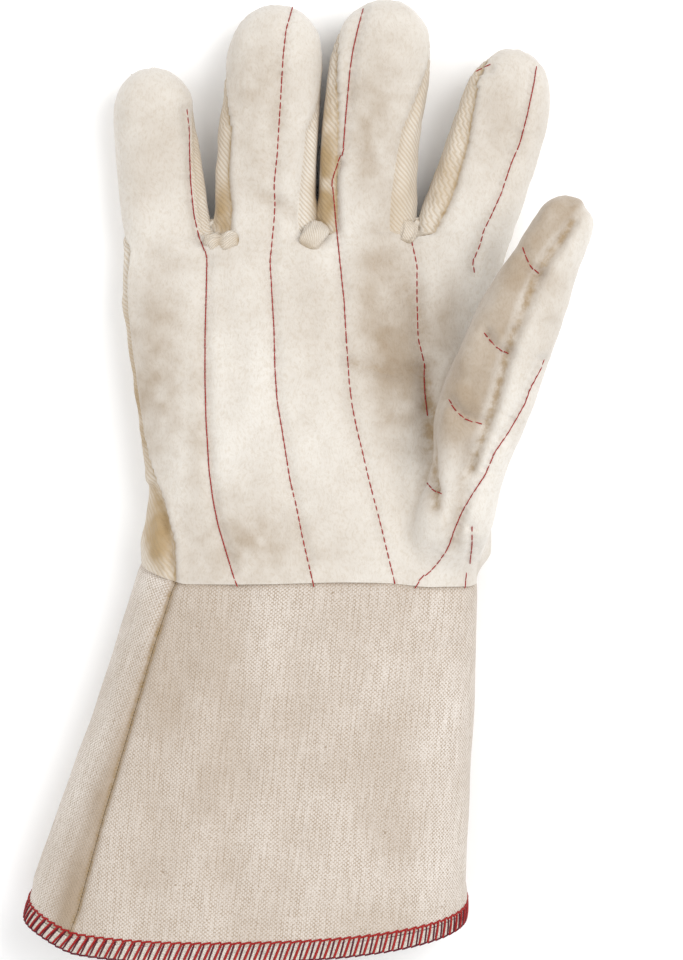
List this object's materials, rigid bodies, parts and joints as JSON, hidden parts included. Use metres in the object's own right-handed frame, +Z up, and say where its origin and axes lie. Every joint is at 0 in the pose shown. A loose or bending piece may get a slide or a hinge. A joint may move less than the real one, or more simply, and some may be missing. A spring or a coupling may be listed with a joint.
{
  "type": "hot mill glove",
  "caption": "Right-hand padded cotton hot mill work glove with napped palm, twill back, red quilting lines and a flared canvas gauntlet cuff.",
  "frame": {"origin": "centre of the bounding box on the plane the glove rests on", "axes": "+Z up, palm facing up; +Y towards the fingertips; thumb on the +X side"},
  "size_m": [0.2134, 0.3574, 0.0682],
  "materials": {
    "napped_cotton": "soft brushed nap",
    "twill_cotton": "matte diagonal twill",
    "cuff_canvas": "matte plain weave",
    "overlock_thread": "matte thread over canvas"
  },
  "bodies": {
    "root": {"palm_panel": "napped_cotton", "back_panel": "twill_cotton", "thumb_inner_panel": "napped_cotton", "thumb_outer_panel": "napped_cotton", "cuff_palm_panel": "cuff_canvas", "cuff_back_panel": "cuff_canvas", "cuff_hem": "overlock_thread", "crotch_gusset_little_ring": "twill_cotton", "crotch_gusset_ring_middle": "twill_cotton", "crotch_gusset_middle_index": "twill_cotton"}
  },
  "joints": []
}
